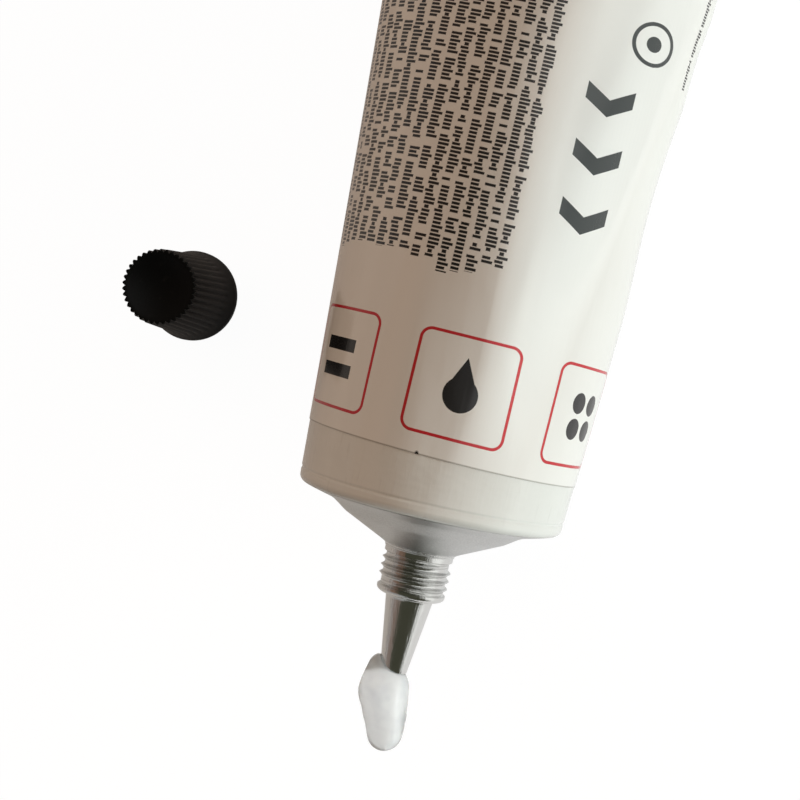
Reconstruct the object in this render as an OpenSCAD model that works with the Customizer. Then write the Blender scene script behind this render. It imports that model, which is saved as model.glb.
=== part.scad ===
// Collapsible aluminium tube of clear adhesive, lying on its flat underside, with its screw cap off.
// The tube runs along Y with its nozzle at -Y, and z = 0 is the surface that it lies on.

/* [Tube body] */
// Outside diameter of the round end, at the shoulder
body_d = 40; // [32:1:48]
// Length from the shoulder plane to the start of the tail fold
body_len = 163.5; // [120:0.5:200]
// Thickness of the flattened sheet where the tail fold starts
tail_t = 0.5; // [0.4:0.1:1]
// Length of the folded strip at the tail, along the tube
fold_len = 7; // [5:0.5:12]
// Thickness of the folded strip
fold_t = 1.6; // [1.2:0.1:2.5]
// Width of the slit between two layers of the fold
fold_slit = 0.12; // [0.08:0.02:0.2]
// Deepest of the soft dents in the filled body
dent_depth = 0.9; // [0:0.1:1.5]

/* [Label film] */
// Thickness of the film round the body
label_t = 0.12; // [0.08:0.01:0.25]
// Distance of the film's front edge from the shoulder plane
label_start = 7.35; // [6:0.05:15]
// Bare length between the film's rear edge and the tail fold
label_rear_gap = 14; // [8:1:40]
// How far the film is wrapped out of square, in degrees, further back on the left
label_skew = 2; // [0:0.1:3]

/* [Shoulder and neck] */
// Radius of the rounded corner between body and shoulder
corner_r = 1.1; // [0.6:0.1:2]
// Depth of the fine groove that runs round the body behind the corner
groove_depth = 0.12; // [0.06:0.02:0.3]
// Height of the shoulder, from its plane to the foot of the neck
shoulder_h = 7.8; // [6:0.1:12]
// Diameter of the neck over its thread crests
thread_d = 10.6; // [9:0.1:12]
// Pitch of the neck thread
thread_pitch = 1.2; // [0.9:0.05:1.5]
// Depth of the neck thread
thread_depth = 0.5; // [0.3:0.05:0.6]
// Length of the neck
neck_len = 7.1; // [6:0.1:10]
// Chamfer at the end of the neck
neck_chamfer = 0.7; // [0.3:0.1:0.9]
// Diameter of the nozzle where it leaves the neck
nozzle_base_d = 7.25; // [6:0.05:8]
// Diameter of the nozzle at its tip
nozzle_tip_d = 4; // [3.4:0.1:5]
// Length of the nozzle
nozzle_len = 11.6; // [8:0.1:16]
// Diameter of the hole through the nozzle
nozzle_bore_d = 2.2; // [1.4:0.1:2.6]
// Length of the hole, from the tip inwards
nozzle_bore_len = 8; // [4:0.5:8]

/* [Adhesive bead] */
// Width of the bead near the nozzle tip
bead_d = 7.8; // [5:0.2:8]
// Width of the bead near its free end
bead_end_d = 5.4; // [3:0.2:6]
// Reach of the bead beyond the nozzle tip
bead_reach = 12.1; // [9:0.1:15]
// Lean of the bead from the nozzle axis, in degrees
bead_lean = 13; // [0:1:18]

/* [Screw cap] */
// Wall of the cap outside the inner end of its threaded bore
cap_wall = 1.1; // [0.8:0.1:2]
// Taper of the fluted body to each side, in degrees
cap_taper = 3; // [1:0.5:4]
// How far the smooth flange stands out at the open end
cap_flange_w = 0.6; // [0.4:0.1:1.5]
// Height of the straight edge of the flange
cap_flange_h = 1.2; // [0.8:0.1:2]
// Height at which the flare has run out into the fluted body
cap_flare_h = 6.4; // [4:0.2:9]
// Number of flutes
flute_count = 38; // [24:1:44]
// Depth of a flute at the closed end
flute_depth = 0.45; // [0.2:0.05:0.6]
// Depth of the dish in the closed end
dish_depth = 1.3; // [0.6:0.1:2]
// Thickness of the cap between its dish and the nozzle pocket
cap_roof = 1; // [0.8:0.1:2]
// Radial clearance between thread crests and cap bore
thread_clearance = 0.15; // [0.05:0.05:0.3]
// Clearance between the nozzle and its pocket in the cap
nozzle_clearance = 0.3; // [0.1:0.05:0.6]
// Clear width between the tube's side and the cap standing beside it
cap_gap = 20; // [12:1:40]
// Distance of the cap behind the shoulder plane
cap_y = 22.5; // [0:0.5:40]

/* [Hidden] */

body_r = body_d / 2;
axis_z = label_t + body_r;
thread_r = thread_d / 2;
tip_r = nozzle_tip_d / 2;
nozzle_r = nozzle_base_d / 2;
bore_r = nozzle_bore_d / 2;
neck_end = shoulder_h + neck_len;
tip_end = neck_end + nozzle_len;

round_band = 4;
groove_behind = 1;
groove_w = 0.5;
rim_run = 3.6;
rim_deg = 16;
bend_run = 2.8;
bend_deg = 33;
neck_foot = 0.6;
foot_band = 0.8;
collar_len = 1.1;
collar_step = 0.1;
collar_r = thread_r - collar_step;
root_r = thread_r - thread_depth;

ring_points = 56;
ring_step = 8;
around = [0 : ring_points - 1];
perimeter = PI * body_d;
tail_w = PI * (body_d - tail_t) / 2 + tail_t;
label_end = body_len - label_rear_gap;
ring_count = ceil((label_end - label_start) / ring_step);
label_stations = [for (i = [0 : ring_count]) label_start + (label_end - label_start) * i / ring_count];
tube_stations = concat([round_band], label_stations, [body_len]);

thread_root_w = thread_pitch * 0.64;
thread_crest_w = thread_pitch * 0.16;
thread_seat = thread_depth / 3;
thread_steps = 24;
thread_run = neck_len - foot_band - collar_len - thread_root_w;
thread_fade = 0.3;

// Soft dents: place along the body as a share of its length, place round the girth in turns from
// the underside, half length and half width as shares of body_d, depth as a share of dent_depth
dents = [
    [0.18, 0.30, 0.22, 0.20, 0.35],
    [0.32, 0.28, 0.55, 0.36, 1.2],
    [0.40, 0.45, 0.35, 0.30, 0.5],
    [0.45, 0.27, 0.20, 0.30, 0.5],
    [0.60, 0.56, 0.45, 0.36, 0.9],
    [0.68, 0.33, 0.36, 0.32, 0.8],
    [0.80, 0.64, 0.40, 0.32, 0.7]
];

bead_side = bead_d * 0.18;
bead_swell = bead_d * 0.37;
lap_d = bead_d * 0.48;
lap_back = 0.4;
stem_in_bead = 0.5;

cap_bore_r = thread_r + thread_clearance;
pocket_end = neck_len + nozzle_len + nozzle_clearance;
cap_h = pocket_end + cap_roof + dish_depth;
cap_base_r = cone_r(cap_flange_h) + cap_flange_w;
cap_top_r = cone_r(cap_h);
rim_w = 1.1;
rim_round = 0.3;
lead_in = 0.4;
flange_chamfer = 0.25;
flare_steps = 8;
dish_steps = 10;
flute_run_out = 0.25;
flute_overlap = 0.6;
flute_share = 0.8;
flute_reach = 2;
cut_over = 1;
fold_nose_gap = 0.4;
inner_slit_start = 0.6;
dish_r = cap_top_r - rim_w;
dish_ball_r = (pow(dish_r, 2) + pow(dish_depth, 2)) / (2 * dish_depth);
dish_half_deg = asin(dish_r / dish_ball_r);

cap_x = body_r + cap_gap + cap_base_r;
x_min = -cap_x - cap_base_r;
x_max = tail_w / 2;
y_min = -tip_end - bead_reach;
y_max = body_len + fold_len;
centre = [(x_min + x_max) / 2, (y_min + y_max) / 2, 0];

// Thickness of the body at a distance behind the shoulder plane
function thick(a) = body_d + (tail_t - body_d) * max(a, 0) / body_len;

// Length of the flat stretch between the two round sides of the section
function flat(a) = (perimeter - PI * thick(a)) / 2;

// A place on the section, by arc length from the middle of the underside: [x, z above the
// underside, outward normal x, outward normal z]. The girth is the same at every section.
function quarter(a, arc) =
    let (r = thick(a) / 2, f = flat(a) / 2, turn = (arc - f) / max(r, 0.001) * 180 / PI)
    arc < f ? [arc, 0, 0, -1]
    : arc < f + PI * r ? [f + r * sin(turn), r - r * cos(turn), sin(turn), -cos(turn)]
    : [f - (arc - f - PI * r), 2 * r, 0, 1];

function section(a, turns) =
    let (arc = perimeter * (turns <= 0.5 ? turns : 1 - turns), q = quarter(a, arc))
    turns <= 0.5 ? q : [-q[0], q[1], -q[2], q[3]];

function bell(q) = abs(q) >= 1 ? 0 : pow(1 - q * q, 2);

function dent(a, turns) = dent_depth * min(1, a / body_len * 8) * sumv([for (d = dents)
    let (along = (a - d[0] * body_len) / (d[2] * body_d),
         across = (turns - d[1]) * perimeter / (d[3] * body_d))
    d[4] * bell(along) * bell(across)]);

function sumv(v, i = 0) = i < len(v) ? v[i] + sumv(v, i + 1) : 0;

// The film's edges are out of square, and the rings follow them until the tail
function skewed(a, turns) =
    a < label_start ? a
    : a - tan(label_skew) * section(a, turns)[0] * max(0, 1 - (a - label_start) / (label_end - label_start));

function body_point(station, turns, out) =
    let (a = skewed(station, turns), q = section(a, turns), push = out - dent(a, turns))
    [q[0] + q[2] * push, a, label_t + q[1] + q[3] * push];

function ring(station, out) = [for (i = around) body_point(station, i / ring_points, out)];

function next(i) = (i + 1) % ring_points;

// Triangles between ring j and the next one, facing outwards, or inwards where flip is set
function band_faces(from, j, flip) = [for (i = around, half = [0, 1])
    let (p = from + j * ring_points + i, q = from + j * ring_points + next(i),
         tri = half == 0 ? [p, q, q + ring_points] : [p, q + ring_points, p + ring_points])
    flip ? [tri[0], tri[2], tri[1]] : tri];

// Triangles across a whole ring, in strips from the underside to the top
function end_faces(from, flip) = [for (side = [0, 1], i = [0 : ring_points / 4 - 1], half = [0, 1])
    let (half_ring = ring_points / 2, low = side * half_ring + i, high = side * half_ring + half_ring - i,
         tri = half == 0 ? [low, low + 1, high - 1] : [low, high - 1, high % ring_points])
    if (tri[1] != tri[2]) [for (k = [0, 1, 2]) from + tri[flip ? 2 - k : k]]];

function flatten(lists) = [for (list = lists) for (item = list) item];

module in_place() {
    translate(-centre) children();
}

module along_neck() {
    translate([0, 0, axis_z]) rotate([90, 0, 0]) children();
}

module body_loft() {
    last = len(tube_stations) - 1;
    polyhedron(
        points = flatten([for (a = tube_stations) ring(a, 0)]),
        faces = concat(
            flatten([for (j = [0 : last - 1]) band_faces(0, j, false)]),
            end_faces(0, true),
            end_faces(last * ring_points, false)
        )
    );
}

module tail_fold() {
    layer = fold_t / 3;
    slit_len = fold_len - fold_t / 2 - fold_nose_gap;
    translate([-tail_w / 2, body_len, label_t]) rotate([90, 0, 90])
        linear_extrude(tail_w) difference() {
            union() {
                square([fold_len - fold_t / 2, fold_t]);
                translate([fold_len - fold_t / 2, fold_t / 2]) circle(d = fold_t, $fn = 32);
            }
            translate([-cut_over, layer * 2 - fold_slit / 2]) square([slit_len + cut_over, fold_slit]);
            translate([inner_slit_start, layer - fold_slit / 2])
                square([slit_len - inner_slit_start, fold_slit]);
        }
}

// Ends of the shallow face inside the corner and of the steeper bend that follows it
rim_end = [body_r - corner_r - rim_run, corner_r + rim_run * tan(rim_deg)];
bend_end = [rim_end[0] - bend_run, rim_end[1] + bend_run * tan(bend_deg)];

// Outline of the round end as [radius, distance in front of the shoulder plane]
shoulder_outline = concat(
    [[0, -round_band], [body_r, -round_band]],
    [[body_r, -groove_behind - groove_w / 2], [body_r - groove_depth, -groove_behind],
     [body_r, -groove_behind + groove_w / 2]],
    [for (t = [0 : 15 : 90]) [body_r - corner_r * (1 - cos(t)), corner_r * sin(t)]],
    [rim_end, bend_end, [collar_r + neck_foot, shoulder_h - neck_foot], [collar_r, shoulder_h]],
    [[collar_r, shoulder_h + foot_band], [root_r, shoulder_h + foot_band + thread_depth / 2]],
    [[root_r, neck_end - collar_len - thread_depth / 2], [collar_r, neck_end - collar_len]],
    [[collar_r, neck_end - neck_chamfer], [collar_r - neck_chamfer, neck_end], [0, neck_end]]
);

// One ridge wound round the root of the neck. It rises out of the root at its start and sinks
// back into it at its end.
module thread_ridge() {
    count = floor(thread_run / thread_pitch * thread_steps);
    start = shoulder_h + foot_band + thread_root_w / 2;
    points = [for (i = [0 : count])
        let (turn = i / thread_steps, z = start + turn * thread_pitch, t = turn * 360,
             rise = min(1, i / thread_steps / thread_fade, (count - i) / thread_steps / thread_fade),
             low = root_r - thread_seat,
             top = low + thread_seat / 2 + (thread_depth + thread_seat / 2) * rise)
        each [for (q = [[low, -thread_root_w / 2], [low, thread_root_w / 2],
                        [top, thread_crest_w / 2], [top, -thread_crest_w / 2]])
            [q[0] * cos(t), q[0] * sin(t), z + q[1]]]];
    polyhedron(points = points, faces = concat(
        [[0, 1, 2], [0, 2, 3]],
        [for (i = [0 : count - 1], k = [0 : 3], half = [0, 1])
            let (a = i * 4 + k, b = i * 4 + (k + 1) % 4)
            half == 0 ? [a, a + 4, b + 4] : [a, b + 4, b]],
        [[count * 4, count * 4 + 2, count * 4 + 1], [count * 4, count * 4 + 3, count * 4 + 2]]
    ));
}

module nozzle_cone() {
    translate([0, 0, neck_end]) cylinder(h = nozzle_len, r1 = nozzle_r, r2 = tip_r, $fn = 64);
}

module nozzle_hole() {
    translate([0, 0, tip_end - nozzle_bore_len])
        cylinder(h = nozzle_bore_len + cut_over, r = bore_r, $fn = 48);
}

module aluminium_tube() {
    color("gainsboro") in_place() union() {
        body_loft();
        tail_fold();
        along_neck() difference() {
            union() {
                rotate_extrude($fn = 128) polygon(shoulder_outline);
                thread_ridge();
                nozzle_cone();
            }
            nozzle_hole();
        }
    }
}

module wrap_label() {
    outer_count = (ring_count + 1) * ring_points;
    color("ivory") in_place() polyhedron(
        points = concat(
            flatten([for (a = label_stations) ring(a, label_t)]),
            flatten([for (a = label_stations) ring(a, 0)])
        ),
        faces = concat(
            flatten([for (j = [0 : ring_count - 1]) band_faces(0, j, false)]),
            flatten([for (j = [0 : ring_count - 1]) band_faces(outer_count, j, true)]),
            [for (i = around) [next(i), i, outer_count + i]],
            [for (i = around) [next(i), outer_count + i, outer_count + next(i)]],
            [for (i = around) let (p = ring_count * ring_points + i, q = ring_count * ring_points + next(i))
                [p, q, outer_count + p]],
            [for (i = around) let (p = ring_count * ring_points + i, q = ring_count * ring_points + next(i))
                [q, outer_count + q, outer_count + p]]
        )
    );
}

module bead_ball(reach, d) {
    translate([tan(bead_lean) * reach - bead_side, 0, tip_end + reach]) sphere(d = d, $fn = 32);
}

module glue_bead() {
    color("whitesmoke") in_place() along_neck() union() {
        difference() {
            hull() {
                bead_ball(bead_swell, bead_d);
                bead_ball(bead_reach - bead_end_d / 2, bead_end_d);
                translate([-tip_r, 0, tip_end - lap_back]) sphere(d = lap_d, $fn = 32);
            }
            nozzle_cone();
        }
        translate([0, 0, tip_end - nozzle_bore_len])
            cylinder(h = nozzle_bore_len + stem_in_bead, r = bore_r, $fn = 48);
    }
}

// Radius of the fluted cone at a height above the open end
function cone_r(z) = cap_bore_r + cap_wall + (neck_len - z) * tan(cap_taper);

cap_outline = concat(
    [[cap_bore_r + lead_in, 0], [cap_base_r - flange_chamfer, 0], [cap_base_r, flange_chamfer]],
    [for (i = [0 : flare_steps])
        let (q = i / flare_steps, z = cap_flange_h + (cap_flare_h - cap_flange_h) * q)
        [cone_r(z) + cap_flange_w * pow(1 - q, 2), z]],
    [[cone_r(cap_h - rim_round), cap_h - rim_round], [cap_top_r - rim_round, cap_h]],
    [for (i = [0 : dish_steps]) let (t = dish_half_deg * (1 - i / dish_steps))
        [dish_ball_r * sin(t), cap_h - dish_depth + dish_ball_r * (1 - cos(t))]],
    [[0, pocket_end], [tip_r + nozzle_clearance, pocket_end]],
    [[nozzle_r + nozzle_clearance, neck_len], [cap_bore_r, neck_len], [cap_bore_r, lead_in]]
);

module flute_cutter() {
    low = cap_flare_h - flute_overlap;
    rise = cap_h - low;
    lean = atan((cone_r(low) - flute_run_out - (cone_r(cap_h) - flute_depth)) / rise);
    half_w = PI * cap_top_r / flute_count * flute_share * flute_reach / flute_depth;
    translate([cone_r(low) - flute_run_out, 0, low]) rotate([0, -lean, 0])
        linear_extrude(rise + cut_over) polygon([[0, 0], [flute_reach, -half_w], [flute_reach, half_w]]);
}

module screw_cap() {
    color("#1a1a1c") in_place() translate([-cap_x, cap_y, 0]) difference() {
        rotate_extrude($fn = 128) polygon(cap_outline);
        for (i = [0 : flute_count - 1]) rotate([0, 0, 360 * i / flute_count]) flute_cutter();
    }
}

aluminium_tube();
wrap_label();
glue_bead();
screw_cap();
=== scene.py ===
import math
import bmesh
import bpy
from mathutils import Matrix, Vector, noise


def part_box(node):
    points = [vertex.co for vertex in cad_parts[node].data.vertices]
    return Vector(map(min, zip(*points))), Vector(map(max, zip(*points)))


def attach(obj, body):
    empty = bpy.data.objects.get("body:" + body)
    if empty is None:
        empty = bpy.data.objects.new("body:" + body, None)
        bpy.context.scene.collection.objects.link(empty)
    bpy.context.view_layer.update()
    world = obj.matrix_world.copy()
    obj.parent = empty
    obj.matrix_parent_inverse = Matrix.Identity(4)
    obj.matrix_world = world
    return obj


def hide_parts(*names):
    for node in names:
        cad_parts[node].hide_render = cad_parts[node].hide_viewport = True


# Collapsible metal tube of clear adhesive, with a wrapped film label and its screw cap off.
# Sizes in the settings are millimetres. The tube runs along Y, its nozzle towards -Y.

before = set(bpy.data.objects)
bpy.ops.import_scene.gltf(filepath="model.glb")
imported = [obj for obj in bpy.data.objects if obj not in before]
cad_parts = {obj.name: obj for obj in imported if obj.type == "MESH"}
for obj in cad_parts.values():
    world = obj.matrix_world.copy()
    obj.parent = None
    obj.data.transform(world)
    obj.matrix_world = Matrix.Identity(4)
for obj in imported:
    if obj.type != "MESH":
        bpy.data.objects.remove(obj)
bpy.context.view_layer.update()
mm = 0.001
tubeLow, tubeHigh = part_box("aluminium_tube")
capLow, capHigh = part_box("screw_cap")
capMiddle = (capLow + capHigh) / 2
print("frame loaded:", ", ".join(sorted(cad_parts)))

tube = {
    "bodyLen": 163.5,
    "tailThick": 0.5,
    "foldLen": 7,
    "foldThick": 1.6,
    "foldSlit": 0.08,
    "crown": 0.35,
    "dentDepth": 0.9,
    "dentsGrown": 0.125,    # of the body length
    "cornerRound": 1.1,
    "lipReach": 0.4,
    "lipSlope": 0.8,
    "grooveAt": 1.0,
    "grooveDepth": 0.12,
    "grooveHalf": 0.35,
    "around": 220,
}

label = {
    "thick": 0.12,
    "innerGap": 0.02,
    "start": 7.35,
    "rearGap": 14,
    "skew": 2.0,
    "around": 200,
    "rows": 185,
}

bodyRadius = (tubeHigh.z - tubeLow.z) / 2 / mm
axisX = (tubeLow.x + tubeHigh.x) / 2
axisZ = (tubeLow.z + tubeHigh.z) / 2
shoulderY = tubeHigh.y - (tube["foldLen"] + tube["bodyLen"]) * mm
girth = 2 * math.pi * bodyRadius
labelEnd = tube["bodyLen"] - label["rearGap"]
tailWidth = math.pi * (bodyRadius * 2 - tube["tailThick"]) / 2 + tube["tailThick"]

# Soft dents: share of the body length, turns round the girth from the underside, half length and
# half width as shares of the diameter, depth as a share of dentDepth
dents = [
    (0.18, 0.30, 0.22, 0.20, 0.35),
    (0.32, 0.28, 0.55, 0.36, 1.2),
    (0.40, 0.45, 0.35, 0.30, 0.5),
    (0.45, 0.27, 0.20, 0.30, 0.5),
    (0.60, 0.56, 0.45, 0.36, 0.9),
    (0.68, 0.33, 0.36, 0.32, 0.8),
    (0.80, 0.64, 0.40, 0.32, 0.7),
]


def clamp(value):
    return max(0.0, min(1.0, value))


def ease(value):
    t = clamp(value)
    return t * t * (3 - 2 * t)


def bell(q):
    return 0 if abs(q) >= 1 else (1 - q * q) ** 2


def atTube(x, behind, up):
    return Vector((axisX + x * mm, shoulderY + behind * mm, tubeLow.z + up * mm))


# Camera, first of all

view = {
    "aside": 14.0,
    "behindShoulder": 19.84,
    "height": 231.35,
    "turn": (-0.373, 6.107, 12.45),
    "fieldOfView": 31.62,
    "sensor": 36,
}


def makeCamera():
    data = bpy.data.cameras.new("camera")
    data.sensor_width = view["sensor"]
    data.lens = view["sensor"] / 2 / math.tan(math.radians(view["fieldOfView"] / 2))
    data.clip_start, data.clip_end = 0.01, 20
    camera = bpy.data.objects.new("camera", data)
    camera.location = atTube(view["aside"], view["behindShoulder"], view["height"])
    camera.rotation_euler = [math.radians(degrees) for degrees in view["turn"]]
    bpy.context.scene.collection.objects.link(camera)
    bpy.context.scene.camera = camera
    bpy.context.scene.view_settings.view_transform = "Standard"


makeCamera()
print("camera placed")


# Materials: a field is a number that varies over a surface, and Python's operators add its nodes

class Field:
    def __init__(self, finish, socket):
        self.finish = finish
        self.socket = socket

    def apply(self, operation, *values):
        return self.finish.maths(operation, *values)

    def __add__(self, other):
        return self.apply("ADD", self, other)

    def __radd__(self, other):
        return self.apply("ADD", other, self)

    def __sub__(self, other):
        return self.apply("SUBTRACT", self, other)

    def __rsub__(self, other):
        return self.apply("SUBTRACT", other, self)

    def __mul__(self, other):
        return self.apply("MULTIPLY", self, other)

    def __rmul__(self, other):
        return self.apply("MULTIPLY", other, self)

    def __truediv__(self, other):
        return self.apply("DIVIDE", self, other)

    def __rtruediv__(self, other):
        return self.apply("DIVIDE", other, self)

    def __neg__(self):
        return self.apply("MULTIPLY", self, -1)

    def __abs__(self):
        return self.apply("ABSOLUTE", self)

    def high(self, other):
        return self.apply("MAXIMUM", self, other)

    def low(self, other):
        return self.apply("MINIMUM", self, other)

    def over(self, limit):
        return self.apply("GREATER_THAN", self, limit)

    def under(self, limit):
        return self.apply("LESS_THAN", self, limit)

    def between(self, low, high):
        return self.over(low) * self.under(high)

    def floor(self):
        return self.apply("FLOOR", self)

    def rounded(self):
        return self.apply("ROUND", self)

    def root(self):
        return self.apply("SQRT", self)

    def sine(self):
        return self.apply("SINE", self)

    def clipped(self):
        node = self.finish.node("ShaderNodeClamp", {}, {"Value": self})
        return Field(self.finish, node.outputs[0])

    def eased(self):
        # From 0 to 1 without a corner at either end
        held = self.clipped()
        return held * held * (3 - 2 * held)

    def inked(self, soft=0.06):
        # 1 inside an outline given as a signed distance, with an edge as soft as print has
        return (0.5 - self / soft).clipped()


class Finish:
    def __init__(self, name, owner=None):
        self.material = owner or bpy.data.materials.new(name)
        self.material.use_nodes = True
        self.tree = self.material.node_tree
        self.tree.nodes.clear()

    def node(self, kind, settings=None, inputs=None):
        # Makes any node: inputs that are fields are linked, the others are set on their sockets
        made = self.tree.nodes.new(kind)
        for key, value in (settings or {}).items():
            setattr(made, key, value)
        for key, value in (inputs or {}).items():
            if isinstance(value, Field):
                self.tree.links.new(value.socket, made.inputs[key])
            else:
                made.inputs[key].default_value = value
        return made

    def maths(self, operation, *values):
        made = self.node("ShaderNodeMath", {"operation": operation}, dict(enumerate(values)))
        return Field(self, made.outputs[0])

    def mix(self, factor, first, second):
        made = self.node("ShaderNodeMix", {"data_type": "RGBA"}, {0: factor, 6: first, 7: second})
        return Field(self, made.outputs[2])

    def place(self):
        # Object coordinates as a vector and as x, y, z in millimetres
        source = self.node("ShaderNodeTexCoord")
        vector = Field(self, source.outputs["Object"])
        return vector, [part * (1 / mm) for part in self.split(vector)]

    def split(self, vector):
        parts = self.node("ShaderNodeSeparateXYZ", {}, {0: vector})
        return [Field(self, output) for output in parts.outputs]

    def wrapMap(self):
        # The sheet's own map: arc length from the top line, and distance behind the shoulder
        source = self.node("ShaderNodeUVMap", {"uv_map": "wrap"})
        return self.split(Field(self, source.outputs[0]))[:2]

    def join(self, x, y, z=0.0):
        made = self.node("ShaderNodeCombineXYZ", {}, {0: x, 1: y, 2: z})
        return Field(self, made.outputs[0])

    def grain(self, vector, scale, detail=2.0, rough=0.5):
        inputs = {"Vector": vector, "Scale": scale, "Detail": detail, "Roughness": rough}
        return Field(self, self.node("ShaderNodeTexNoise", {}, inputs).outputs["Fac"])

    def flatGrain(self, across, along, scales, detail):
        return self.grain(self.join(across * scales[0], along * scales[1]), 1.0, detail)

    def chance(self, vector):
        made = self.node("ShaderNodeTexWhiteNoise", {"noise_dimensions": "2D"}, {"Vector": vector})
        return Field(self, made.outputs["Value"])

    def bump(self, height, strength, distance):
        inputs = {"Height": height, "Strength": strength, "Distance": distance}
        return Field(self, self.node("ShaderNodeBump", {}, inputs).outputs[0])

    def surface(self, **inputs):
        shader = self.node("ShaderNodeBsdfPrincipled", {}, inputs)
        output = self.node("ShaderNodeOutputMaterial")
        self.tree.links.new(shader.outputs[0], output.inputs["Surface"])
        return self.material


def colour(red, green, blue):
    return (red, green, blue, 1.0)


lacquer = {
    "white": colour(0.79, 0.805, 0.78),
    "scuffed": colour(0.62, 0.62, 0.60),
    "roughness": 0.13,
    "scuffStrength": 0.4,
    "streakScale": (1.5, 0.22),     # across and along, per millimetre
    "patchScale": (0.16, 0.3),
    "fineScale": 2600.0,            # per metre
    "streaksFrom": 0.55,
    "patchesFrom": 0.42,
    "patchRise": 5,
    "bump": 0.14,
    "bumpDepth": 0.0002,
}


def lacquerFinish():
    f = Finish("whiteLacquer")
    across, along = f.wrapMap()
    vector = f.place()[0]
    streaks = f.flatGrain(across, along, lacquer["streakScale"], 3.0)
    patches = f.flatGrain(across, along, lacquer["patchScale"], 2.0)
    streaky = ((streaks - lacquer["streaksFrom"]) * 6).clipped()
    scuffs = streaky * ((patches - lacquer["patchesFrom"]) * 4).clipped()
    fine = f.grain(vector, lacquer["fineScale"], 2.0)
    shade = f.mix(scuffs * lacquer["scuffStrength"] + fine * 0.06, lacquer["white"], lacquer["scuffed"])
    height = streaks + patches * lacquer["patchRise"] + fine * 0.1
    return f.surface(**{
        "Base Color": shade,
        "Roughness": lacquer["roughness"] + scuffs * 0.16 + fine * 0.04,
        "Coat Weight": 0.2,
        "Coat Roughness": 0.08,
        "Normal": f.bump(height, lacquer["bump"], lacquer["bumpDepth"]),
    })


film = {
    "white": colour(0.86, 0.86, 0.835),
    "black": colour(0.012, 0.012, 0.013),
    "grey": colour(0.042, 0.050, 0.050),
    "red": colour(0.56, 0.018, 0.028),
    # the thin line along the front edge: partly adhesive dirt, partly painted shade at the film's step
    "edge": colour(0.46, 0.45, 0.42),
    "roughness": 0.10,
    "tilePitch": 20.9,
    "tileAcross": 1.9,
    "tileAlong": 17.6,
    "tileHalf": 7.2,
    "tileRound": 1.5,
    "tileStroke": 0.44,
    "barHalf": 3.6,
    "barOut": 1.9,
    "barThick": 0.95,
    "dropDown": 1.0,
    "dropRadius": 2.5,
    "dotOut": 1.9,
    "dotRadius": 1.55,
    "linePitch": 2.02,
    "cell": 0.6,
    "tickWide": 0.21,
    "tickHalf": 0.6,
    "tickRise": 0.4,
    "gapChance": 0.11,
    "tallFrom": 0.72,       # these four are shares of the ticks
    "hungUnder": 0.08,
    "squareFrom": 0.3,
    "squareTo": 0.42,
    "blockStart": 32.4,
    "blockEnd": 134.0,
    "blockRagged": 3.2,
    "firstRow": -23,
    "lastRow": 1,
    "sideRow": 26.6,
    "sideStart": 69,
    "sideEnd": 118,
    "sideScale": 1.35,
    "markAcross": 13.2,
    "markPitch": 8.9,
    "markStart": 45.2,
    "markHalf": 3.6,
    "markSlope": 0.62,
    "markThick": 1.3,
    "ringAcross": 17.8,
    "ringAlong": 73.3,
    "ringRadius": 3.1,
    "ringThick": 0.3,
    "ringDot": 1.2,
    "discAcross": 12.6,
    "discAlong": 86.5,
    "discRadius": 5.6,
    "edgeWide": 0.16,
    "nickAcross": 2.1,
    "nickRadius": 0.28,
    "rippleScale": (0.5, 0.06),     # across and along, per millimetre
    "rippleRise": 0.04,
    "creaseScale": (0.12, 0.09),
    "creaseRise": 0.12,
    "pitScale": 3400.0,             # per metre
    "pitRise": 0.0012,
    "ridgeFrom": 3.2,
    "ridgeLeft": 24,
    "ridgeRise": 4.5,
    "ridgeRun": 8,
    "ridgeSpread": 0.2,
    "ridgeFall": 11,
    "ridgeGrown": 60,
    "ridgeEnd": 145,
    "ridgeFade": 40,
}


def softRidge(across, along):
    # The filling bulges in a soft ridge along the body: its height in millimetres
    run = film["ridgeRun"] + along * film["ridgeSpread"]
    rise = ((across - film["ridgeFrom"]) / film["ridgeLeft"] + 1).eased() * film["ridgeRise"]
    fall = ((across - film["ridgeFrom"]) / run).eased() * film["ridgeFall"]
    share = (along / film["ridgeGrown"]).eased() * ((film["ridgeEnd"] - along) / film["ridgeFade"]).eased()
    return (rise - fall) * share


def distanceToTile(across, along, half, rounding):
    x = abs(across) - (half - rounding)
    y = abs(along) - (half - rounding)
    outside = (x.high(0) * x.high(0) + y.high(0) * y.high(0)).root()
    return outside + x.high(y).low(0) - rounding


def distanceToDisc(across, along, radius):
    return (across * across + along * along).root() - radius


def tilePrint(across, along):
    # Three outlined tiles, each with a plain black figure
    shift = across - film["tileAcross"]
    number = (shift / film["tilePitch"]).rounded()
    x = shift - number * film["tilePitch"]
    y = along - film["tileAlong"]
    wanted = abs(number).under(1.5)
    outline = abs(distanceToTile(x, y, film["tileHalf"], film["tileRound"])) - film["tileStroke"] / 2
    bars = (abs(x) - film["barHalf"]).high(abs(abs(y) - film["barOut"]) - film["barThick"])
    dropPoint = ((abs(x) * 2.1 + y - 4.3) * 0.43).high(-0.2 - y)
    drop = distanceToDisc(x, y + film["dropDown"], film["dropRadius"]).low(dropPoint)
    dots = distanceToDisc(abs(x) - film["dotOut"], abs(y) - film["dotOut"], film["dotRadius"])
    figure = bars.inked() * number.under(-0.5) + drop.inked() * abs(number).under(0.5)
    figure = figure + dots.inked() * number.over(0.5)
    return outline.inked() * wanted, (figure * wanted).clipped()


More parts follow.
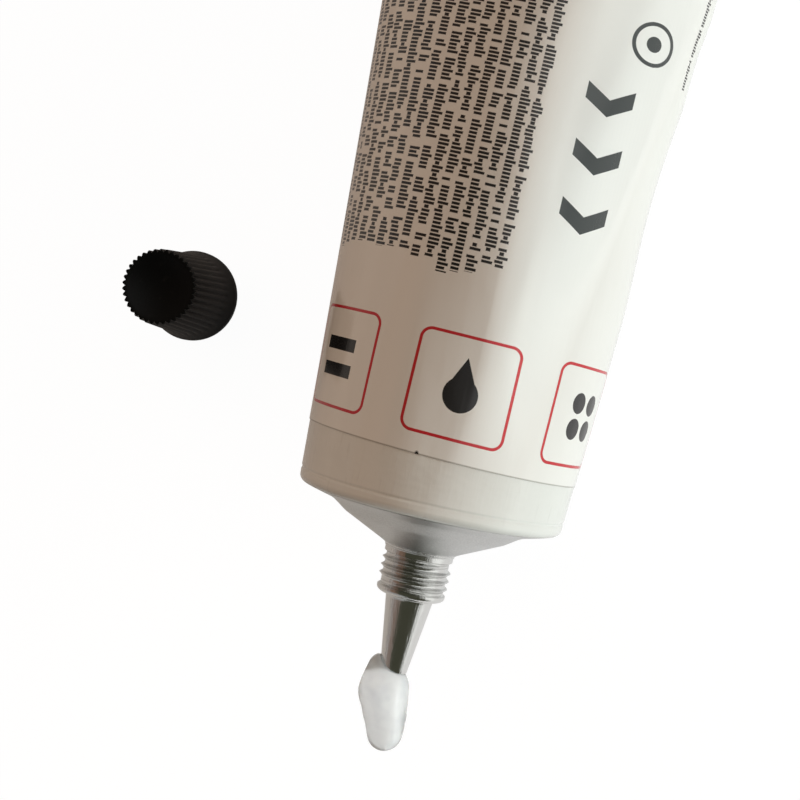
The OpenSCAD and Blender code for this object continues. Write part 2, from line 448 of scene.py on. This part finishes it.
def tickRow(f, row, offset, along):
    # Plain ticks of a few lengths in a row, with gaps between some of them; the odd factors keep the
    # rows unlike each other
    place = along / film["cell"] + row * 17.37
    cell = place.floor()
    inCell = abs(place - cell - 0.5) * film["cell"]
    size = f.chance(f.join(row * 0.37 + 0.2, cell * 0.73 + 0.1))
    there = f.chance(f.join(row * 0.53 + 7.2, cell * 0.41 + 0.4)).over(film["gapChance"])
    tall = size.over(film["tallFrom"])
    hung = size.under(film["hungUnder"])
    low = offset - tall * film["tickRise"] / 2 + film["tickRise"] * hung / 2
    length = film["tickHalf"] + tall * film["tickRise"] / 2
    square = size.between(film["squareFrom"], film["squareTo"])
    tick = (abs(low) - length * (1 - square * 0.45)).high(inCell - film["tickWide"] - square * 0.05)
    return tick.inked(0.1) * there


def linePrint(f, across, along):
    # A block of rows with ragged starts, and one short row beside it
    lines = across / film["linePitch"]
    row = lines.floor()
    offset = (lines - row - 0.5) * film["linePitch"]
    ragged = f.chance(f.join(row * 0.61 + 0.5, 3.3)) * film["blockRagged"]
    block = row.between(film["firstRow"] - 0.5, film["lastRow"] + 0.5)
    block = block * (along - ragged).over(film["blockStart"]) * along.under(film["blockEnd"])
    main = tickRow(f, row, offset, along) * block
    scale = film["sideScale"]
    side = tickRow(f, 40.0, (across - film["sideRow"]) * scale, along * scale)
    return (main + side * along.between(film["sideStart"], film["sideEnd"]) * across.over(20)).clipped()


def markPrint(across, along):
    # Three broad chevrons, a ring with a dot, and a disc
    x = across - film["markAcross"]
    step = ((along - film["markStart"]) / film["markPitch"]).rounded()
    y = along - film["markStart"] - step * film["markPitch"]
    arm = abs(y - abs(x) * film["markSlope"] + 1.1) - film["markThick"]
    chevron = arm.high(abs(x) - film["markHalf"]).inked() * step.between(-0.5, 2.5)
    ringX = across - film["ringAcross"]
    ringY = along - film["ringAlong"]
    ring = abs(distanceToDisc(ringX, ringY, film["ringRadius"])) - film["ringThick"]
    dot = distanceToDisc(ringX, ringY, film["ringDot"])
    disc = distanceToDisc(across - film["discAcross"], along - film["discAlong"], film["discRadius"])
    return (chevron + ring.inked() + dot.inked() + disc.inked()).clipped()


def filmFinish():
    f = Finish("labelFilm")
    across, along = f.wrapMap()
    vector = f.place()[0]
    red, figures = tilePrint(across, along)
    ink = (figures + linePrint(f, across, along)).clipped()
    marks = markPrint(across, along)
    behind = along - label["start"]
    # A thin grey line along the film's front edge: partly adhesive dirt, partly painted shade where the edge
    # steps up from the tube
    edge = (behind - film["edgeWide"]).inked(0.12)
    nick = distanceToDisc(across + film["nickAcross"], behind * 0.7, film["nickRadius"]).inked(0.2)
    shade = f.mix(edge, film["white"], film["edge"])
    shade = f.mix(red, shade, film["red"])
    shade = f.mix(marks, shade, film["grey"])
    shade = f.mix((ink + nick).clipped(), shade, film["black"])
    ripple = f.flatGrain(across, along, film["rippleScale"], 2.0)
    creases = f.flatGrain(across, along, film["creaseScale"], 2.0)
    pits = f.grain(vector, film["pitScale"], 2.0)
    height = ripple * film["rippleRise"] + creases * film["creaseRise"] + pits * film["pitRise"]
    return f.surface(**{
        "Base Color": shade,
        "Roughness": film["roughness"] + pits * 0.05 + (ink + marks + red).clipped() * 0.1,
        "Coat Weight": 0.3,
        "Coat Roughness": 0.05,
        "Normal": f.bump(height + softRidge(across, along), 1.0, mm),
    })


neck = {
    "shoulderHeight": 7.8,
    "length": 7.1,
    "crestRadius": 5.3,
    "collarRadius": 5.2,
    "rootRadius": 4.8,
    "footBand": 0.8,
    "collarLen": 1.1,
    "chamfer": 0.7,
    "pitch": 1.2,
    "ridgeHalf": 0.43,      # of the pitch
    "runIn": 0.3,           # turns
    "nozzleRadius": 3.625,
    "tipRadius": 2.0,
    "nozzleLen": 11.6,
    "boreRadius": 1.1,
    "boreLen": 8.0,
    "around": 216,
    "threadRows": 110,
}

metal = {
    "bright": colour(0.74, 0.745, 0.735),
    "dull": colour(0.50, 0.505, 0.50),
    # painted shade on the thread's flanks: its colour and how strongly it is laid on
    "threadShade": colour(0.10, 0.10, 0.09),
    "threadShadeStrength": 0.3,
    "coneEnd": 7.0,
    "ringScale": (7, 9),            # on the cone and ahead of it, per millimetre
    "turnedScale": 15,
    "turnedRadius": 6.6,
    "sparkleScale": 4200.0,         # per metre
    "cloudScale": 420.0,
    "streakScale": (3.2, 0.1),      # across and along, per millimetre
    "flankAt": 0.17,                # of the pitch
    "flankSharp": 9,
    "roughness": 0.15,
    "ringRise": 0.7,
    "turnedRise": 1.6,
    "sparkleRise": 4,
    "streakRise": 3,
    "bump": 0.35,
    "bumpDepth": 0.00004,
}


def metalFinish():
    f = Finish("bareAluminium")
    vector, (x, y, z) = f.place()
    forward = shoulderY / mm - y
    cone = 1 - ((forward - metal["coneEnd"]) * 1.6).clipped()
    aside = x - axisX / mm
    above = z - axisZ / mm
    fromAxis = (aside * aside + above * above).root()
    onCone, ahead = metal["ringScale"]
    rings = f.grain(f.join(fromAxis * cone * onCone, forward * ahead * (1 - cone)), 1.0, 3.0)
    nearFoot = 1 - (abs(fromAxis - metal["turnedRadius"]) - 0.5).clipped()
    turned = ((fromAxis * metal["turnedScale"]).sine() * 0.5 + 0.5) * nearFoot
    sparkle = f.grain(vector, metal["sparkleScale"], 3.0, 0.7)
    cloud = f.grain(vector, metal["cloudScale"], 3.0)
    across, along = metal["streakScale"]
    streak = f.grain(f.join(x * across, z * across, y * along), 1.0, 2.0) * (1 - cone)
    dulling = cone * (sparkle * 1.5 - 0.2) + cone * turned * 0.35
    angle = f.maths("ARCTAN2", above, aside) / (2 * math.pi)
    threadFrom = neck["shoulderHeight"] + neck["footBand"] + neck["pitch"] * neck["ridgeHalf"]
    turns = (forward - threadFrom) / neck["pitch"] - angle
    fromRidge = abs(turns - turns.rounded())
    threadTo = neck["shoulderHeight"] + neck["length"] - neck["collarLen"]
    inThread = forward.between(threadFrom - 0.5, threadTo)
    # Painted shade: a dark band on both flanks of each thread ridge, where the groove lies in shadow
    shadedFlank = (1 - abs(fromRidge - metal["flankAt"]) * metal["flankSharp"]).clipped() * inThread
    shade = f.mix(dulling.clipped(), metal["bright"], metal["dull"])
    shade = f.mix(shadedFlank * metal["threadShadeStrength"], shade, metal["threadShade"])
    height = rings * metal["ringRise"] + turned * cone * metal["turnedRise"]
    height = height + cone * sparkle * metal["sparkleRise"] + streak * metal["streakRise"]
    return f.surface(**{
        "Base Color": shade,
        "Metallic": 1.0,
        "Roughness": metal["roughness"] + cone * 0.09 + cloud * 0.08 + cone * sparkle * 0.14,
        "Normal": f.bump(height, metal["bump"], metal["bumpDepth"]),
    })


gel = {
    "pale": colour(0.96, 0.99, 1.0),
    "deep": colour(0.82, 0.86, 0.88),
    "cloudScale": 260.0,            # per metre
    "depthScale": 330.0,
    "roughness": 0.1,
    "bump": 0.2,
    "bumpDepth": 0.0004,
}


def gelFinish():
    f = Finish("clearGel")
    vector = f.place()[0]
    cloud = f.grain(vector, gel["cloudScale"], 2.0)
    depth = ((f.grain(vector, gel["depthScale"], 2.0) - 0.42) * 3).clipped()
    return f.surface(**{
        "Base Color": f.mix(depth, gel["pale"], gel["deep"]),
        "Roughness": gel["roughness"] + cloud * 0.16,
        "IOR": 1.36,
        "Transmission Weight": 0.62,
        "Subsurface Weight": 0.55,
        "Subsurface Radius": (1.0, 1.0, 1.0),
        "Subsurface Scale": 0.0025,
        "Normal": f.bump(cloud, gel["bump"], gel["bumpDepth"]),
    })


plastic = {
    "black": colour(0.0032, 0.0034, 0.0034),
    "rubbed": colour(0.02, 0.02, 0.02),
    "roughness": 0.46,
    "poreScale": 4200.0,            # per metre
    "wearScale": 700.0,
    "tipBand": 1.9,
    "topBand": 0.35,
    "bump": 0.25,
    "bumpDepth": 0.00003,
}


def plasticFinish():
    f = Finish("blackPlastic")
    vector, (x, y, z) = f.place()
    pores = f.grain(vector, plastic["poreScale"], 3.0, 0.6)
    wear = f.grain(vector, plastic["wearScale"], 4.0)
    rub = ((wear - 0.6) * 6).clipped()
    high = ((z - capHigh.z / mm + plastic["topBand"]) * 3).clipped()
    aside = x - capMiddle.x / mm
    ahead = y - capMiddle.y / mm
    out = (aside * aside + ahead * ahead).root()
    outermost = (capHigh.x - capLow.x) / 2 / mm
    tips = ((out - outermost + plastic["tipBand"]) * 3).clipped() * high
    rubbed = (rub * 0.2 + tips * (wear - 0.35).clipped() * 2.5).clipped()
    shade = f.mix(rubbed, plastic["black"], plastic["rubbed"])
    return f.surface(**{
        "Base Color": shade,
        "Roughness": plastic["roughness"] + pores * 0.1,
        "Specular IOR Level": 0.12,
        "Normal": f.bump(pores, plastic["bump"], plastic["bumpDepth"]),
    })


print("finishes made")


# Pieces

def finishPiece(bm, name, material, nodeName, sharp=35):
    for face in bm.faces:
        face.smooth = True
    for edge in bm.edges:
        edge.smooth = len(edge.link_faces) == 2 and edge.calc_face_angle(0) < math.radians(sharp)
    mesh = bpy.data.meshes.new(name)
    bm.to_mesh(mesh)
    bm.free()
    mesh.materials.append(material)
    piece = bpy.data.objects.new(name, mesh)
    bpy.context.scene.collection.objects.link(piece)
    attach(piece, "root")
    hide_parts(nodeName)
    mesh.calc_loop_triangles()
    print("piece made:", name, len(mesh.loop_triangles), "triangles")
    return piece


def thickness(behind):
    return bodyRadius * 2 + (tube["tailThick"] - bodyRadius * 2) * max(behind, 0) / tube["bodyLen"]


def section(behind, turns):
    # Place and outward normal on the section, which is round at the shoulder and flat at the tail
    radius = thickness(behind) / 2
    flat = (girth - 2 * math.pi * radius) / 4
    arc = girth * min(turns, 1 - turns)
    side = 1 if turns <= 0.5 else -1
    if arc < flat:
        x, up, nx, nz = arc, 0.0, 0.0, -1.0
    elif arc < flat + math.pi * radius:
        angle = (arc - flat) / max(radius, 0.001)
        x, up = flat + radius * math.sin(angle), radius - radius * math.cos(angle)
        nx, nz = math.sin(angle), -math.cos(angle)
    else:
        x, up, nx, nz = 2 * flat + math.pi * radius - arc, 2 * radius, 0.0, 1.0
    halfWidth = radius + flat
    up *= 1 - tube["crown"] * flat / halfWidth * (x / halfWidth) ** 2      # the filling crowns it
    return side * x, up, side * nx, nz


def dentAt(behind, turns):
    total = 0
    for place, round_, halfLen, halfWidth, depth in dents:
        along = (behind - place * tube["bodyLen"]) / (halfLen * bodyRadius * 2)
        across = (turns - round_) * girth / (halfWidth * bodyRadius * 2)
        total += depth * bell(along) * bell(across)
    return tube["dentDepth"] * min(1, behind / tube["bodyLen"] / tube["dentsGrown"]) * total


def bodyPoint(station, turns, out):
    if station < 0:     # round the front corner, then a short lip under the shoulder's edge
        angle = min(math.pi / 2, -station / tube["cornerRound"])
        beyond = max(0, -station - tube["cornerRound"] * math.pi / 2)
        radius = bodyRadius - tube["cornerRound"] * (1 - math.cos(angle)) - beyond
        x, up, nx, nz = section(0, turns)
        forward = tube["cornerRound"] * math.sin(angle) - beyond * tube["lipSlope"]
        return atTube(nx * radius, -forward, bodyRadius + nz * radius)
    behind = station
    if station >= label["start"]:
        fade = max(0, 1 - (station - label["start"]) / (labelEnd - label["start"]))
        behind = station - math.tan(math.radians(label["skew"])) * section(station, turns)[0] * fade
    x, up, nx, nz = section(behind, turns)
    groove = tube["grooveDepth"] * bell((station - tube["grooveAt"]) / tube["grooveHalf"])
    push = out - dentAt(behind, turns) - groove
    return atTube(x + nx * push, behind, up + nz * push)


def rolledSheet(stations, around, out):
    # A flat grid rolled round the body, with its map kept in millimetres
    bm = bmesh.new()
    rows = len(stations) - 1
    bmesh.ops.create_grid(bm, x_segments=around, y_segments=rows, size=0.5)
    wrap = bm.loops.layers.uv.new("wrap")
    for face in bm.faces:
        for loop in face.loops:
            turns = loop.vert.co.x + 0.5
            row = round((loop.vert.co.y + 0.5) * rows)
            loop[wrap].uv = ((0.5 - turns) * girth, stations[row])
    for vert in bm.verts:
        turns = clamp(vert.co.x + 0.5)
        row = round((vert.co.y + 0.5) * rows)
        vert.co = bodyPoint(stations[row], turns % 1.0, out)
    bmesh.ops.remove_doubles(bm, verts=bm.verts, dist=0.002 * mm)
    bmesh.ops.recalc_face_normals(bm, faces=bm.faces)
    return bm


def steps(first, last, count):
    return [first + (last - first) * i / count for i in range(count + 1)]


def makeBody(material):
    # Stations are close at the corner and its groove, and wide under the label
    corner = tube["cornerRound"] * math.pi / 2
    stations = steps(-corner - tube["lipReach"], -corner, 3)[:-1]
    for first, last, count in [(-corner, 0, 10), (0, 2, 24), (2, 9, 10), (9, 140, 60)]:
        stations += steps(first, last, count)[:-1]
    stations += steps(140, tube["bodyLen"], 24)
    bm = rolledSheet(stations, tube["around"], 0)
    return finishPiece(bm, "lacquered_body", material, "aluminium_tube")


def makeTail(material):
    # The flattened end folded over twice, seen as a strip with one open slit
    bm = bmesh.new()
    length, thick = tube["foldLen"], tube["foldThick"]
    layer, bend, slit = thick / 3, thick / 2, tube["foldSlit"]
    nose = [(length - bend + bend * math.sin(t), bend - bend * math.cos(t))
            for t in steps(0, math.pi, 12)]
    outline = [(0, 0), *nose, (0.1, thick), (0, thick - 0.1), (0, 2 * layer + slit)]
    outline += [(length - thick, 2 * layer + slit), (length - thick, 2 * layer - slit), (0, 2 * layer - slit)]
    corners = [bm.verts.new(atTube(-tailWidth / 2, tube["bodyLen"] + a, up)) for a, up in outline]
    face = bm.faces.new(corners)
    pushed = bmesh.ops.extrude_face_region(bm, geom=[face])["geom"]
    far = [item for item in pushed if isinstance(item, bmesh.types.BMVert)]
    bmesh.ops.translate(bm, verts=far, vec=(tailWidth * mm, 0, 0))
    bmesh.ops.recalc_face_normals(bm, faces=bm.faces)
    return finishPiece(bm, "folded_tail", material, "aluminium_tube")


def makeLabel(material):
    stations = steps(label["start"], labelEnd, label["rows"])
    bm = rolledSheet(stations, label["around"], label["thick"])
    bmesh.ops.solidify(bm, geom=bm.faces, thickness=(label["thick"] - label["innerGap"]) * mm)
    return finishPiece(bm, "film_label", material, "wrap_label")


def spinProfile(profile, around, origin, axis, radial):
    # Turns a profile of (radius, distance along the axis) into a closed solid of revolution
    bm = bmesh.new()
    verts = [bm.verts.new(origin + (radial * r + axis * d) * mm) for r, d in profile]
    edges = [bm.edges.new(pair) for pair in zip(verts, verts[1:])]
    bmesh.ops.spin(bm, geom=verts + edges, cent=origin, axis=axis, angle=2 * math.pi, steps=around,
                   use_merge=True)
    bmesh.ops.remove_doubles(bm, verts=bm.verts, dist=0.0005 * mm)
    bmesh.ops.recalc_face_normals(bm, faces=bm.faces)
    return bm


def arcPoints(centre, radius, first, last, count):
    return [(centre[0] + radius * math.cos(math.radians(t)), centre[1] + radius * math.sin(math.radians(t)))
            for t in steps(first, last, count)]


def threadHeight(angle, forward, start, end):
    turns = (forward - start) / neck["pitch"] - angle / (2 * math.pi)
    ridge = math.floor(turns + 0.5)
    place = ridge + angle / (2 * math.pi)
    last = (end - start) / neck["pitch"]
    rise = ease(min(place, last - place) / neck["runIn"])
    return rise * clamp(1 - abs(turns - ridge) / neck["ridgeHalf"]) ** 1.5


def between(first, last, count):
    return [(first[0] + (last[0] - first[0]) * t, first[1] + (last[1] - first[1]) * t)
            for t in steps(0, 1, count)]


def makeNozzle(material):
    foot = neck["shoulderHeight"]
    neckEnd = foot + neck["length"]
    tip = neckEnd + neck["nozzleLen"]
    collar, root, base = neck["collarRadius"], neck["rootRadius"], neck["nozzleRadius"]
    threadFrom, threadTo = foot + neck["footBand"], neckEnd - neck["collarLen"]
    # The shoulder: its edge, a low slope, a bend, the cone and the curve up to the neck
    profile = [(17.9, 0.5), (18.75, 1.0), (18.78, 1.2), *between((18.6, 1.25), (15.3, 2.17), 6)]
    profile += [(14.5, 2.55), (13.6, 3.15), (12.9, 3.66), *between((12.3, 4.05), (6.3, 6.98), 18)]
    profile += [(5.95, 7.16), (5.6, 7.38), (5.38, 7.56), (5.3, 7.7), (5.34, foot - 0.02), (5.3, foot + 0.07)]
    # The neck, whose thread is raised below
    profile += [(collar, foot + 0.12), (collar, threadFrom), (root + 0.1, threadFrom + 0.2)]
    profile += [(root, z) for z in steps(threadFrom + 0.25, threadTo - 0.25, neck["threadRows"])]
    profile += [(root + 0.1, threadTo - 0.2), (collar, threadTo), (collar, neckEnd - neck["chamfer"] - 0.1)]
    profile += [(base + 0.25 + (collar - base - 0.25) * math.cos(t), neckEnd - 0.8 + 0.8 * math.sin(t))
                for t in steps(0.12, math.pi / 2, 9)]
    # The nozzle and its hole
    profile += [(base + 0.08, neckEnd + 0.06), (base - 0.02, neckEnd + 0.22)]
    taper = (neck["tipRadius"] - base) / neck["nozzleLen"]
    profile += [(base + taper * d, neckEnd + d) for d in steps(0.5, neck["nozzleLen"] - 0.2, 20)]
    profile += [(neck["tipRadius"] - 0.04, tip - 0.06), (neck["tipRadius"] - 0.12, tip), (1.25, tip)]
    profile += [(neck["boreRadius"], tip - 0.12), (neck["boreRadius"], tip - neck["boreLen"])]
    profile += [(0, tip - neck["boreLen"])]
    origin = Vector((axisX, shoulderY, axisZ))
    bm = spinProfile(profile, neck["around"], origin, Vector((0, -1, 0)), Vector((1, 0, 0)))
    ridgeRoom = neck["pitch"] * neck["ridgeHalf"]
    for vert in bm.verts:
        arm = vert.co - origin
        forward = -arm.y / mm
        flatArm = Vector((arm.x, 0, arm.z))
        if threadFrom < forward < threadTo and flatArm.length > 4 * mm:
            angle = math.atan2(arm.z, arm.x)
            height = threadHeight(angle, forward, threadFrom + ridgeRoom, threadTo - ridgeRoom)
            reach = max(flatArm.length / mm, root + (neck["crestRadius"] - root) * height)
            vert.co += flatArm.normalized() * (reach * mm - flatArm.length)
    return finishPiece(bm, "shoulder_and_nozzle", material, "aluminium_tube", 50)


bead = {
    "voxel": 0.16,
    "freeLen": 3.2,         # behind the nozzle's tip
    "smoothings": 14,
    "grownOver": 2.5,
    "lumpScale": 240,       # per metre
    "lumpRise": 0.34,
    "rippleScale": 520,
    "rippleRise": 0.12,
}


def makeBead(material):
    # The CAD bead, remeshed and let slump like a soft gel
    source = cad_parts["glue_bead"]
    bm = bmesh.new()
    bm.from_mesh(source.data)
    bmesh.ops.remove_doubles(bm, verts=bm.verts, dist=0.001 * mm)
    rough = bpy.data.meshes.new("beadRough")
    bm.to_mesh(rough)
    bm.free()
    carrier = bpy.data.objects.new("beadRough", rough)
    bpy.context.scene.collection.objects.link(carrier)
    voxels = carrier.modifiers.new("voxels", "REMESH")
    voxels.mode = "VOXEL"
    voxels.voxel_size = bead["voxel"] * mm
    bpy.context.view_layer.update()
    shaped = carrier.evaluated_get(bpy.context.evaluated_depsgraph_get()).to_mesh()
    bm = bmesh.new()
    bm.from_mesh(shaped)
    bpy.data.objects.remove(carrier)
    tipY = tubeLow.y
    outside = [vert for vert in bm.verts if vert.co.y < tipY + bead["freeLen"] * mm]
    for turn in range(bead["smoothings"]):
        bmesh.ops.smooth_vert(bm, verts=outside, factor=0.5,
                              use_axis_x=True, use_axis_y=True, use_axis_z=True)
    bm.normal_update()
    for vert in outside:
        beyond = clamp((tipY - vert.co.y) / (bead["grownOver"] * mm))
        push = noise.noise(vert.co * bead["lumpScale"]) * bead["lumpRise"]
        push += noise.noise(vert.co * bead["rippleScale"]) * bead["rippleRise"]
        vert.co += vert.normal * push * beyond * mm
    bmesh.ops.recalc_face_normals(bm, faces=bm.faces)
    return finishPiece(bm, "gel_bead", material, "glue_bead", 80)


cap = {
    "boreRadius": 5.45,
    "wall": 1.1,
    "taper": 3.0,
    "flange": 0.6,
    "flangeHeight": 1.2,
    "flareHeight": 6.4,
    "flutes": 38,
    "fluteDepth": 0.5,
    "fluteShare": 0.84,     # of the space between two
    "fluteFrom": 3.2,
    "fluteRise": 4,
    "dishDepth": 1.3,
    "rim": 0.6,
    "threadLen": 7.1,
    "nozzleGap": 0.3,
}


def capRadius(height):
    spread = (cap["threadLen"] - height) * math.tan(math.radians(cap["taper"]))
    return cap["boreRadius"] + cap["wall"] + spread


def flaredRadius(height):
    share = clamp((height - cap["flangeHeight"]) / (cap["flareHeight"] - cap["flangeHeight"]))
    return capRadius(height) + cap["flange"] * (1 - share) ** 2


def makeCap(material):
    top = (capHigh.z - capLow.z) / mm
    topRadius = capRadius(top)
    dishRadius = topRadius - cap["rim"]
    ball = (dishRadius ** 2 + cap["dishDepth"] ** 2) / (2 * cap["dishDepth"])
    half = math.asin(dishRadius / ball)
    flangeRadius = flaredRadius(cap["flangeHeight"])
    profile = [(cap["boreRadius"] + 0.4, 0), (flangeRadius - 0.25, 0), (flangeRadius - 0.07, 0.07)]
    profile += [(flangeRadius, 0.25), (flangeRadius, cap["flangeHeight"])]
    profile += [(flaredRadius(h), h) for h in steps(cap["flangeHeight"], cap["flareHeight"], 10)[1:]]
    profile += [(capRadius(h), h) for h in steps(cap["flareHeight"], top - 0.3, 18)[1:]]
    profile += arcPoints((topRadius - 0.3, top - 0.3), 0.3, 20, 90, 4)
    for t in steps(half, 0, 12):
        profile.append((ball * math.sin(t), top - cap["dishDepth"] + ball * (1 - math.cos(t))))
    pocket = cap["threadLen"] + neck["nozzleLen"] + cap["nozzleGap"]
    profile += [(0, pocket), (neck["tipRadius"] + cap["nozzleGap"], pocket)]
    profile += [(neck["nozzleRadius"] + cap["nozzleGap"], cap["threadLen"])]
    profile += [(cap["boreRadius"], cap["threadLen"])]
    profile += [(cap["boreRadius"], 0.4), (cap["boreRadius"] + 0.4, 0)]
    origin = Vector((capMiddle.x, capMiddle.y, 0))
    bm = spinProfile(profile, cap["flutes"] * 10, origin, Vector((0, 0, 1)), Vector((1, 0, 0)))
    for vert in bm.verts:
        arm = vert.co - origin
        height = arm.z / mm
        flatArm = Vector((arm.x, arm.y, 0))
        radius = flatArm.length / mm
        if radius < dishRadius + 0.02 or height < 3:
            continue
        cell = math.atan2(arm.y, arm.x) / (2 * math.pi) * cap["flutes"]
        groove = clamp(1 - abs(cell - round(cell)) * 2 / cap["fluteShare"])
        groove *= ease((height - cap["fluteFrom"]) / cap["fluteRise"])
        deeperUp = (1 + height / top) / 2
        limit = flaredRadius(height) - cap["fluteDepth"] * deeperUp * groove
        if radius > limit:
            vert.co -= flatArm.normalized() * (radius - limit) * mm
    return finishPiece(bm, "fluted_cap", material, "screw_cap", 40)


lacquerMaterial = lacquerFinish()
metalMaterial = metalFinish()
makeBody(lacquerMaterial)
makeTail(lacquerMaterial)
makeLabel(filmFinish())
makeNozzle(metalMaterial)
makeBead(gelFinish())
makeCap(plasticFinish())


# Floor, lamps and world

stage = {
    "floorRadius": 3.0,
    "floorShade": colour(0.86, 0.86, 0.86),
    "bounceShade": colour(0.40, 0.36, 0.33),
    "seenGlow": 0.9,
    # painted light: how strongly the floor glows in reflections, left and right of the tube, standing for a
    # table lit from the right
    "glossLeft": 0.12,
    "glossRight": 0.62,
    "glossSpan": 26,        # millimetres across the tube's axis
    "glowStrength": 1.07,
    "window": {
        "place": (0.9, -0.06, 0.2), "size": (1.6, 0.2), "watts": 11.1,
        "shade": (0.955, 1.0, 0.965), "inGloss": False,
    },
    "warmCeiling": {
        "place": (-0.5, 0.25, 0.8), "size": (1.2, 1.0), "watts": 4.1,
        "shade": (1.0, 0.72, 0.53), "inGloss": False,
    },
}


def makeFloor():
    f = Finish("paleFloor")
    rays = f.node("ShaderNodeLightPath")
    seen = Field(f, rays.outputs["Is Camera Ray"])
    through = (seen + Field(f, rays.outputs["Is Transmission Ray"])).clipped()
    glossy = Field(f, rays.outputs["Is Glossy Ray"])
    shade = f.mix((seen + glossy).clipped(), stage["bounceShade"], stage["floorShade"])
    matt = f.node("ShaderNodeBsdfDiffuse", {}, {"Color": shade})
    glow = f.node("ShaderNodeEmission", {}, {"Color": colour(1, 1, 1), "Strength": stage["glowStrength"]})
    vector, (x, y, z) = f.place()
    # Painted light: in reflections the floor glows, weakly left of the tube and strongly right of it
    toRight = ((x - axisX / mm) / stage["glossSpan"] + 0.5).clipped()
    inGloss = stage["glossLeft"] + toRight * (stage["glossRight"] - stage["glossLeft"])
    glowing = (through * stage["seenGlow"] + glossy * inGloss).clipped()
    both = f.node("ShaderNodeMixShader", {}, {0: glowing})
    output = f.node("ShaderNodeOutputMaterial")
    f.tree.links.new(matt.outputs[0], both.inputs[1])
    f.tree.links.new(glow.outputs[0], both.inputs[2])
    f.tree.links.new(both.outputs[0], output.inputs["Surface"])
    bm = bmesh.new()
    bmesh.ops.create_circle(bm, cap_ends=True, segments=96, radius=stage["floorRadius"])
    mesh = bpy.data.meshes.new("floor")
    bm.to_mesh(mesh)
    bm.free()
    mesh.materials.append(f.material)
    floor = bpy.data.objects.new("floor", mesh)
    bpy.context.scene.collection.objects.link(floor)


def makeLamp(name):
    facts = stage[name]
    data = bpy.data.lights.new(name, "AREA")
    data.shape = "RECTANGLE"
    data.size, data.size_y = facts["size"]
    data.energy = facts["watts"]
    data.color = facts["shade"]
    lamp = bpy.data.objects.new(name, data)
    place = Vector(facts["place"])
    lamp.location = place
    lamp.rotation_euler = (Vector((0, 0, 0.02)) - place).to_track_quat("-Z", "Y").to_euler()
    lamp.visible_glossy = facts["inGloss"]
    bpy.context.scene.collection.objects.link(lamp)


room = {
    "ceiling": colour(0.055, 0.055, 0.038),
    "leftWall": colour(0.34, 0.30, 0.28),
    "leftPanel": colour(0.20, 0.125, 0.09),
    "rightWall": colour(1.05, 1.05, 1.02),
    "frontWall": colour(0.36, 0.365, 0.36),
    "panelFrom": 0.34,
    "leftTop": 0.70,
    "rightTop": 0.80,
    "rightSlope": 1.1,
    "sideBlend": 2.2,
    "panelBlend": 14,
    "frontFrom": 0.7,
    "leftSharp": 20,
    "rightSharp": 3.5,
    "onObject": 0.22,
}


def makeWorld():
    # A dark ceiling over pale walls, which the bare metal and the film reflect, and which
    # light the object less than they shine in its gloss
    world = bpy.data.worlds.new("studio")
    f = Finish("studio", world)
    place = f.node("ShaderNodeTexCoord")
    x, y, z = f.split(Field(f, place.outputs["Generated"]))
    toRight = (x * room["sideBlend"] + 0.5).clipped()
    isPanel = ((z - room["panelFrom"]) * room["panelBlend"] + 0.5).clipped()
    walls = f.mix(isPanel, room["leftWall"], room["leftPanel"])
    walls = f.mix(toRight, walls, room["rightWall"])
    walls = f.mix((-y * room["sideBlend"] - room["frontFrom"]).clipped(), walls, room["frontWall"])
    top = room["leftTop"] + toRight * (room["rightTop"] - room["leftTop"] + y * room["rightSlope"])
    sharpness = room["leftSharp"] - toRight * (room["leftSharp"] - room["rightSharp"])
    shade = f.mix(((z - top) * sharpness + 0.5).clipped(), walls, room["ceiling"])
    rays = f.node("ShaderNodeLightPath")
    glossy = Field(f, rays.outputs["Is Glossy Ray"])
    strength = room["onObject"] + glossy * (1 - room["onObject"])
    back = f.node("ShaderNodeBackground", {}, {"Color": shade, "Strength": strength})
    output = f.node("ShaderNodeOutputWorld")
    f.tree.links.new(back.outputs[0], output.inputs["Surface"])
    bpy.context.scene.world = world


makeFloor()
makeLamp("window")
makeLamp("warmCeiling")
makeWorld()
print("stage made")
